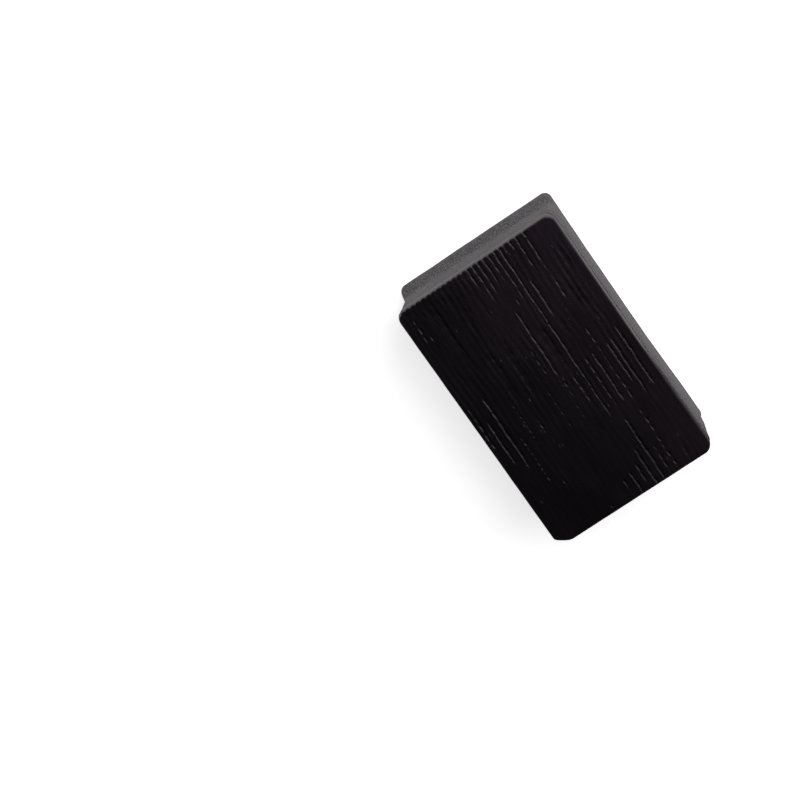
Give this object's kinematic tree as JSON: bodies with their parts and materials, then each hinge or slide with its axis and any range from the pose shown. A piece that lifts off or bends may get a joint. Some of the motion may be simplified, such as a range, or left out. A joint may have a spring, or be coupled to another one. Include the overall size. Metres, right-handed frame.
{
  "type": "clay block",
  "caption": "Foam grip block with a pad of detailing clay bonded to one face and a finger groove across each end, for cleaning car paint by hand.",
  "frame": {"origin": "centre of the flat foam back, on the surface that the block rests on", "axes": "+X along the block's longest side, +Y across it, +Z from the foam back to the clay face"},
  "size_m": [0.09, 0.057, 0.035],
  "materials": {
    "grey_foam": "matte closed-cell foam with fine open pores on its cut sides",
    "adhesive": "thin dark adhesive film",
    "black_clay": "satin black polymer clay with wood-like ridges along the block"
  },
  "bodies": {
    "root": {"foam_grip_block": "grey_foam", "adhesive_film": "adhesive", "clay_pad": "black_clay"}
  },
  "joints": []
}
